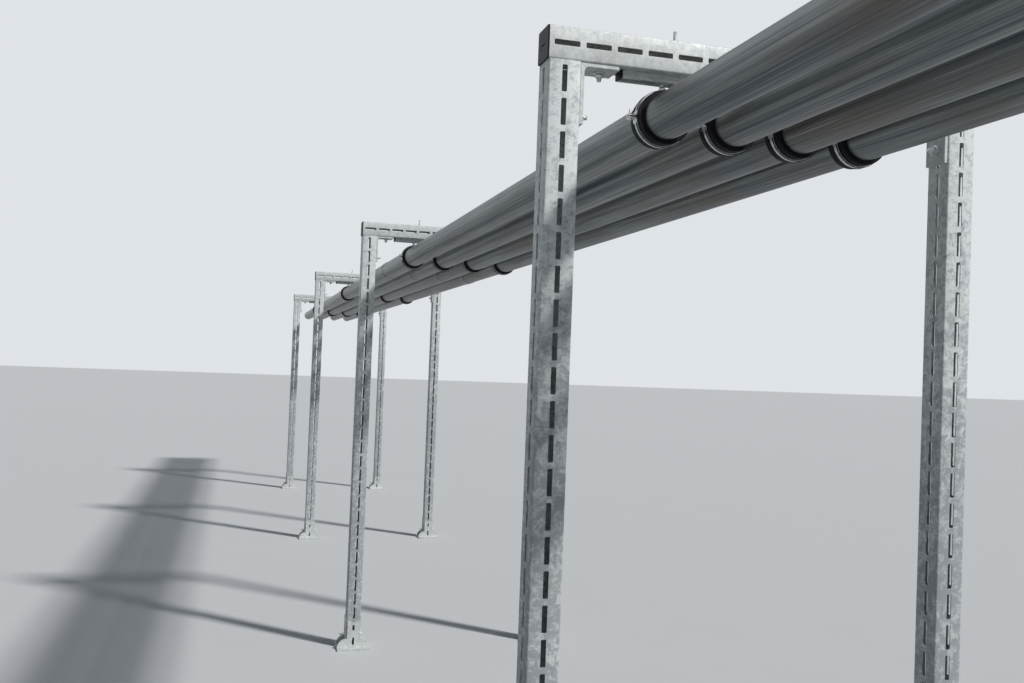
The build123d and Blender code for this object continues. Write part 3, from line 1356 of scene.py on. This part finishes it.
@dataclass
class PipeClamp(Assembly):
    """Lined clamp round a pipe: two bent half bands, ear bolts, hanger and a thick black lining.

    A nut is given as its width across the flats and its height.
    """

    band_inner: float = 0.06825
    band_thickness: float = 0.003
    band_width: float = 0.022
    ear_reach: float = 0.018
    ear_gap: float = 0.003
    bend_radius: float = 0.0035
    bend_steps: int = 6
    arc_steps: int = 40
    ear_inset: float = 0.013
    ear_nut: Pair = (0.010, 0.004)
    ear_bore: float = 0.0027
    ear_stud: Pair = (0.003, 0.014)
    stud_radius: float = 0.005
    stud_bore: float = 0.0045
    boss: Pair = (0.017, 0.010)
    boss_sink: float = 0.0015
    lip_nut: Pair = (0.015, 0.006)
    lip_nut_drop: float = 0.0065
    rail_nut_half: float = 0.015
    rail_nut_corner: float = 0.002
    rail_nut_edge: float = 0.0006
    rail_nut_taper: float = 0.97
    stud_drop: float = 0.001
    lining_inner: float = 0.05745
    lining_outer: float = 0.06795
    lining_edge: float = 0.003
    lining_steps: int = 5
    lining_segments: int = 64
    bead: float = 0.0008
    lip_width: float = 0.005
    lip_thickness: float = 0.001
    lip_from: float = 0.22

    def build(self) -> None:
        """Shows the clamps of every frame."""
        rail_low = Box.of("clamp_rail_1").low[2]
        height = Box.of("pipe_1").middle[2]
        xs = [Box.of(f"pipe_{pipe}").middle[0] for pipe in PIPES]
        kinds = (("bent_bands", self._band(rail_low - height), Slot.ZINC, "clamp_bands", height),
                 ("rail_nuts", self._hanger(rail_low), Slot.ZINC, "hangers", 0),
                 ("rubber_linings", self._lining(), Slot.RUBBER, "clamp_linings", height))
        for number in FRAMES:
            y = Box.of(f"beam_{number}").middle[1]
            for name, mesh, slot, node, z in kinds:
                placed = [moved(mesh, shift(x, y, z)) for x in xs]
                self.palette.dress(f"{name}_{number}", placed, slot, f"{node}_{number}")

    def _half_path(self) -> Array:
        """Centre line of the upper half band in (x, z).

        It runs in along the ear, round a bend that touches both the ear's line and the band's
        circle, and over the top; the left side is the mirror of the right one.

        Returns:
            Array of (points, 2), from the right ear to the left one.
        """
        radius = self.band_inner + self.band_thickness / 2
        low = (self.ear_gap + self.band_thickness) / 2
        bend_z = low + self.bend_radius
        bend_x = math.sqrt((radius + self.bend_radius) ** 2 - bend_z ** 2)
        start = math.atan2(bend_z, bend_x)
        bend = arc(self.bend_radius, 3 * QUARTER, TURN / 2 + start, self.bend_steps) + [bend_x, bend_z]
        over = arc(radius, start, QUARTER, self.arc_steps // 2 + 1)[1:]
        ear = self.band_inner + self.band_thickness + self.ear_reach
        right = np.concatenate([[[ear, low]], bend, over])
        return np.concatenate([right, (right[:-1] * MIRROR)[::-1]])

    def _band(self, rail: float) -> Mesh:
        """Builds both half bands with their boss, hanging stud and ear bolts.

        Args:
            rail: Height of the rail over the pipe's axis.

        Returns:
            The mesh, about the pipe's axis.
        """
        make, path = self.fasteners, self._half_path()
        ribbon = Ribbon(self.band_thickness, self.band_width)
        outer = self.band_inner + self.band_thickness
        face = self.ear_gap / 2 + self.band_thickness
        radius, rise = self.ear_stud
        parts = [ribbon.along(path), ribbon.along(path * FLIP),
                 make.nut(*self.boss, outer - self.boss_sink, self.stud_bore),
                 make.nut(*self.lip_nut, rail - self.lip_nut_drop, self.stud_bore),
                 make.stud(self.stud_radius, outer, rail)]
        bolt = (make.nut(*self.ear_nut, face, self.ear_bore),
                make.nut(*self.ear_nut, -face - self.ear_nut[1]),
                make.stud(radius, -face, face + rise))
        ear_x = outer + self.ear_inset
        return joined(parts + [moved(mesh, shift(x, 0, 0)) for x in (-ear_x, ear_x) for mesh in bolt])

    def _hanger(self, rail: float) -> Mesh:
        """Builds the rail nut inside the lips and the stud that comes up through it.

        Args:
            rail: Height of the rail's underside.

        Returns:
            The mesh, at its own height.
        """
        box, edge = Box.of("hangers_1"), self.rail_nut_edge
        top, base = box.high[2], rail + ClampRail.wall
        loop = rounded_loop(self.rail_nut_half, box.size[1] / 2, self.rail_nut_corner)
        small = loop * self.rail_nut_taper
        nut = Skin().through(((small, base), (loop, base + edge), (loop, top - edge), (small, top)))
        stud = self.fasteners.stud(self.stud_radius, rail - self.stud_drop, top - self.stud_drop)
        return joined([nut.mesh(), stud])

    def _lining(self) -> Mesh:
        """Lining lathed about Y: rounded rims and a shallow seat for the band in between.

        Returns:
            The mesh, about the pipe's axis, with its lips.
        """
        half, edge = Box.of("clamp_linings_1").size[1] / 2, self.lining_edge
        seat, rim = self.lining_outer, self.lining_outer + self.bead
        groove = self.band_width / 2 + self.bead
        corner = arc(edge, -QUARTER, 0, self.lining_steps) + [rim - edge, edge - half]
        floor = [(rim, -groove - self.bead), (seat, -groove)]
        side = np.concatenate([[(self.lining_inner, -half)], corner, floor])
        ring = Skin().grid(lathe(both_sides(side), self.lining_segments), CLOSED).mesh()
        return joined([moved(ring, turned(90, "X")), *self._lips()])

    def _lips(self) -> list[Mesh]:
        """Thin lips of the lining that lie on the band's edges, as arcs clear of the ears.

        Returns:
            Four strips: over and under the ears, on the near and the far edge.
        """
        radius = self.band_inner + self.band_thickness + self.lip_thickness / 2
        path = arc(radius, self.lip_from, TURN / 2 - self.lip_from, self.arc_steps)
        ribbon = Ribbon(self.lip_thickness, self.lip_width, self.lip_thickness * BREAK_SHARE)
        middle = (self.band_width - self.lip_width) / 2
        halves = [ribbon.along(path), ribbon.along(path * FLIP)]
        return [moved(half, shift(0, y, 0)) for half in halves for y in (-middle, middle)]


@dataclass
class Pipework(Assembly):
    """Four bare pipes along Y and the pressed sleeves over their joints."""

    wall: float = 0.0026
    edge: float = 0.0006
    segments: int = 96
    sleeve_inner: float = 0.05745
    sleeve_outer: float = 0.0595
    bead_height: float = 0.0009
    bead_width: float = 0.011
    bead_from: float = 0.003
    bead_steps: int = 9

    def build(self) -> None:
        """Shows the pipes and the sleeves."""
        size = Box.of("pipe_1").size
        pipe = self._turned(rounded_profile(size[0] / 2 - self.wall, size[0] / 2, size[1] / 2, self.edge))
        sleeves = Box.of("pipe_sleeves")
        sleeve = self._turned(self._sleeve_profile(sleeves.size[1] / 2))
        middles = [Box.of(f"pipe_{number}").middle for number in PIPES]
        for number, middle in zip(PIPES, middles):
            placed = [moved(pipe, shift(*middle))]
            self.palette.dress(f"drawn_pipe_{number}", placed, Slot.PIPE, f"pipe_{number}")
        placed = [moved(sleeve, shift(middle[0], sleeves.middle[1], middle[2])) for middle in middles]
        self.palette.dress("pressed_sleeves", placed, Slot.SLEEVE, "pipe_sleeves")

    def _turned(self, profile: Array) -> Mesh:
        """Ring of this profile, turned about Y."""
        return moved(Skin().grid(lathe(profile, self.segments), CLOSED).mesh(), turned(90, "X"))

    def _sleeve_profile(self, half: float) -> Array:
        """Profile of a sleeve: plain in the middle with a raised half-sine bead near each end.

        Args:
            half: Half the length of the sleeve.

        Returns:
            Array of (points, 2).
        """
        share = np.linspace(0, 1, self.bead_steps)
        bead = np.stack([self.sleeve_outer + self.bead_height * np.sin(share * TURN / 2),
                         self.bead_from - half + share * self.bead_width], axis=-1)
        end = [(self.sleeve_inner, -half), (self.sleeve_outer - self.edge, -half),
               (self.sleeve_outer, self.edge - half)]
        return both_sides(np.concatenate([end, bead]))


@dataclass
class EndCap(Assembly):
    """Moulded cap in the end of a beam: a plug, a rounded plate and a slit across its face."""

    plate_thickness: float = 0.004
    plug_length: float = 0.008
    plug_inset: float = 0.0033
    corner: float = 0.006
    edge: float = 0.001
    slit: Triple = (0.013, 0.0022, 0.0015)
    slit_depth: float = 0.0022

    def build(self) -> None:
        """Shows the caps of every beam."""
        cap = self._cap(Box.of("beam_1").size[2] / 2)
        box = Box.of("end_caps")
        places = []
        for number in FRAMES:
            _, y, z = Box.of(f"beam_{number}").middle
            places += [(shift(box.low[0], y, z),), (turned(180, "Z"), shift(box.high[0], y, z))]
        caps = [moved(cap, *place) for place in places]
        self.palette.dress("beam_caps", caps, Slot.PLASTIC, "end_caps")

    def _cap(self, half: float) -> Mesh:
        """Cap of a left end with its outer face on x = 0, as one stack of rounded loops.

        The loops start inside the slit, spread over the face, go round the plate's edge and end on
        the plug.

        Args:
            half: Half the width of the section.

        Returns:
            The closed mesh.
        """
        slit = rounded_loop(*self.slit)
        face, plate, plug = (rounded_loop(half - by, half - by, self.corner - by)
                             for by in (self.edge, 0, self.plug_inset))
        thick = self.plate_thickness
        stations = ((slit, self.slit_depth), (slit, 0), (face, 0), (plate, self.edge), (plate, thick),
                    (plug, thick), (plug, thick + self.plug_length))
        return Skin().through(stations, 0).mesh()


def seen(tree: bpy.types.NodeTree) -> Wire:
    """One for camera, glossy and transmission rays, and zero for those that only light.

    Args:
        tree: Node tree that gets the nodes.

    Returns:
        The share.
    """
    path = tree.nodes.new("ShaderNodeLightPath")
    camera, glossy, through = (Wire(tree, path.outputs[f"Is {kind} Ray"])
                               for kind in ("Camera", "Glossy", "Transmission"))
    return camera + glossy + through


@dataclass(frozen=True)
class Studio:
    """Plain pale floor and background, a soft key light and an even fill."""

    floor_reach: float = 90.0
    floor_drop: float = 0.0005
    floor_colour: Triple = (0.68, 0.685, 0.69)
    floor_bounce: Triple = (0.26, 0.265, 0.27)
    floor_wear: float = 0.97
    floor_surface: Surface = Surface(0.0, 0.01, 0.001)
    backdrop: tuple[float, ...] = (0.74, 0.77, 0.80, 1.0)
    fill: tuple[float, ...] = (0.68, 0.83, 1.0, 1.0)
    fill_strength: float = 0.13
    key_strength: float = 3.0
    key_angle: float = 0.09
    key_from: Triple = (1.0, -0.98, 1.18)

    def build(self) -> None:
        """Adds the floor, the lights and the background."""
        self._floor()
        lamp = bpy.data.lights.new("key", "SUN")
        lamp.energy, lamp.angle = self.key_strength, self.key_angle
        light = bpy.data.objects.new("key", lamp)
        light.rotation_euler = Vector(self.key_from).to_track_quat("Z", "Y").to_euler()
        bpy.context.scene.collection.objects.link(light)
        self._world()
        bpy.context.scene.view_settings.view_transform = "Standard"

    def _floor(self) -> None:
        """Adds the floor just under the feet, paler to look at than it is as a source of light."""
        reach = self.floor_reach
        corners = np.array([(-reach, -reach), (reach, -reach), (reach, reach), (-reach, reach)])
        mesh = Skin().face(lifted(corners, -self.floor_drop), UP).mesh("floor")
        shader = Shader("pale_floor")
        wear = shader.noise(shader.place, 2.0, 4.0)
        worn = tuple(part * self.floor_wear for part in self.floor_colour)
        colour = shader.mix(wear, self.floor_colour, worn)
        colour = shader.mix(seen(shader.tree), self.floor_bounce, colour)
        mesh.materials.append(shader.finish(colour, 0.85 + wear * 0.05, wear, self.floor_surface))
        floor = bpy.data.objects.new("floor", mesh)
        bpy.context.scene.collection.objects.link(floor)

    def _world(self) -> None:
        """Lights evenly with the fill and shows the backdrop to the camera and in the metal."""
        world = bpy.data.worlds.new("studio")
        world.use_nodes = True
        tree = world.node_tree
        tree.nodes.clear()
        mix = tree.nodes.new("ShaderNodeMixShader")
        tree.links.new(seen(tree).socket, mix.inputs[0])
        shades = ((self.fill, self.fill_strength), (self.backdrop, 1.0))
        for place, (colour, strength) in enumerate(shades, start=1):
            shade = tree.nodes.new("ShaderNodeBackground")
            shade.inputs["Color"].default_value = colour
            shade.inputs["Strength"].default_value = strength
            tree.links.new(shade.outputs[0], mix.inputs[place])
        output = tree.nodes.new("ShaderNodeOutputWorld")
        tree.links.new(mix.outputs[0], output.inputs["Surface"])
        bpy.context.scene.world = world


@dataclass(frozen=True)
class PhotoCamera:
    """Camera that stands where the photograph was taken from."""

    place: Triple = (-1.3056, -7.8908, 1.7085)
    yaw: float = -0.2671
    pitch: float = 0.0243
    roll: float = -0.0386
    lens: float = 35.256
    sensor: float = 36.0
    clip_end: float = 300.0

    def build(self) -> None:
        """Adds the camera: turned about Z, then X, then Y, from looking along Y."""
        data = bpy.data.cameras.new("photo_camera")
        data.sensor_fit = "HORIZONTAL"
        data.sensor_width, data.lens = self.sensor, self.lens
        data.clip_end = self.clip_end
        camera = bpy.data.objects.new("photo_camera", data)
        turn = Matrix.Rotation(self.yaw, 4, "Z") @ Matrix.Rotation(self.pitch, 4, "X")
        turn = turn @ Matrix.Rotation(self.roll, 4, "Y") @ turned(90, "X")
        camera.matrix_world = shift(*self.place) @ turn
        bpy.context.scene.collection.objects.link(camera)
        bpy.context.scene.camera = camera


def main() -> None:
    """Loads the frame, dresses every piece and sets up the studio."""
    logging.basicConfig(level=logging.INFO, format="%(message)s")
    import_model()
    palette = Palette()
    for kind in (PortalFrame, Foot, CornerBracket, ClampRail, RailRod, PipeClamp, Pipework, EndCap):
        kind(palette).build()
    Studio().build()
    PhotoCamera().build()


if __name__ == "__main__":
    main()
